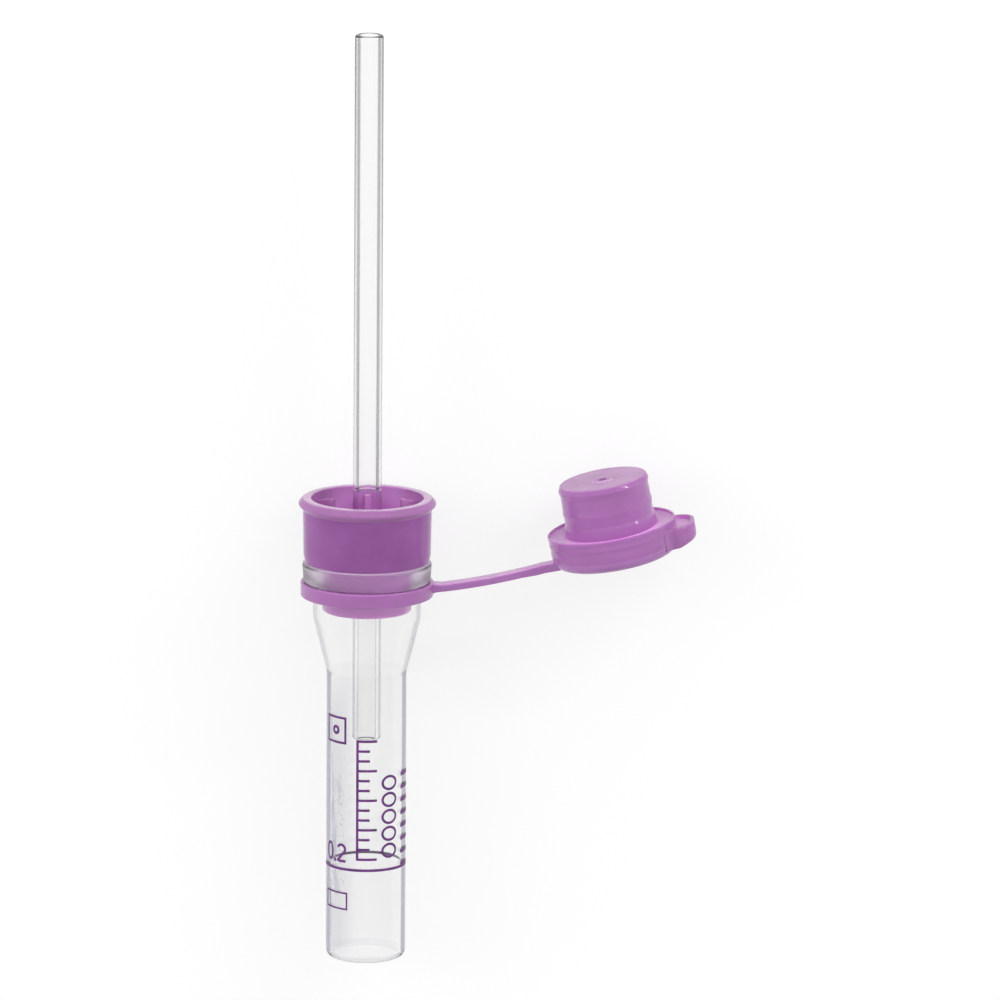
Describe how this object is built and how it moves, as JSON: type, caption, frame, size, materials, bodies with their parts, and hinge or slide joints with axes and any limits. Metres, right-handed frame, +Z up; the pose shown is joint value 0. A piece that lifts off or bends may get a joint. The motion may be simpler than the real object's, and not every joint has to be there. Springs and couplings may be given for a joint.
{
  "type": "capillary blood collection tube with tethered cap",
  "caption": "Small clear sample tube with a rim, a push-in holder with a straight clear capillary through it, and a stopper cap on a strap from a ring round the neck.",
  "frame": {"origin": "centre of the footprint of the part as it lies on a table, at table level", "axes": "+Y along the tube from its foot to the mouth and the capillary, +X towards the open cap, +Z up from the table; the tube's axis rises 1.4 degrees towards the mouth"},
  "size_m": [0.04, 0.0942, 0.0139],
  "materials": {
    "clear_tube": "clear, glossy, lightly hazed at the rim",
    "clear_capillary": "clear, polished",
    "purple_plastic": "translucent purple, satin gloss",
    "purple_soft_plastic": "translucent soft purple, satin"
  },
  "bodies": {
    "tube": {"sample_tube": "clear_tube"},
    "holder": {"capillary_holder": "purple_plastic", "capillary": "clear_capillary"},
    "ring": {"tether_ring": "purple_soft_plastic"},
    "strap": {"tether_strap": "purple_soft_plastic"},
    "cap": {"stopper_cap": "purple_soft_plastic"}
  },
  "joints": [
    {"name": "holder_pull", "type": "slide", "parent": "tube", "child": "holder", "axis": [0, 0.9997, 0.0252], "range_m": [0, 0.02]},
    {"name": "ring_turn", "type": "hinge", "parent": "tube", "child": "ring", "pos_m": [-0.01304, -0.00914, 0.00671], "axis": [0, 0.9997, 0.0252], "continuous": true},
    {"name": "strap_bend", "type": "hinge", "parent": "ring", "child": "strap", "pos_m": [-0.00544, -0.00891, 0.00657], "axis": [0.0191, -0.0252, 0.9995], "range_deg": [-60, 35]},
    {"name": "cap_bend", "type": "hinge", "parent": "strap", "child": "cap", "pos_m": [0.00468, -0.00681, 0.00643], "axis": [0.0191, -0.0252, 0.9995], "range_deg": [-45, 30]}
  ]
}
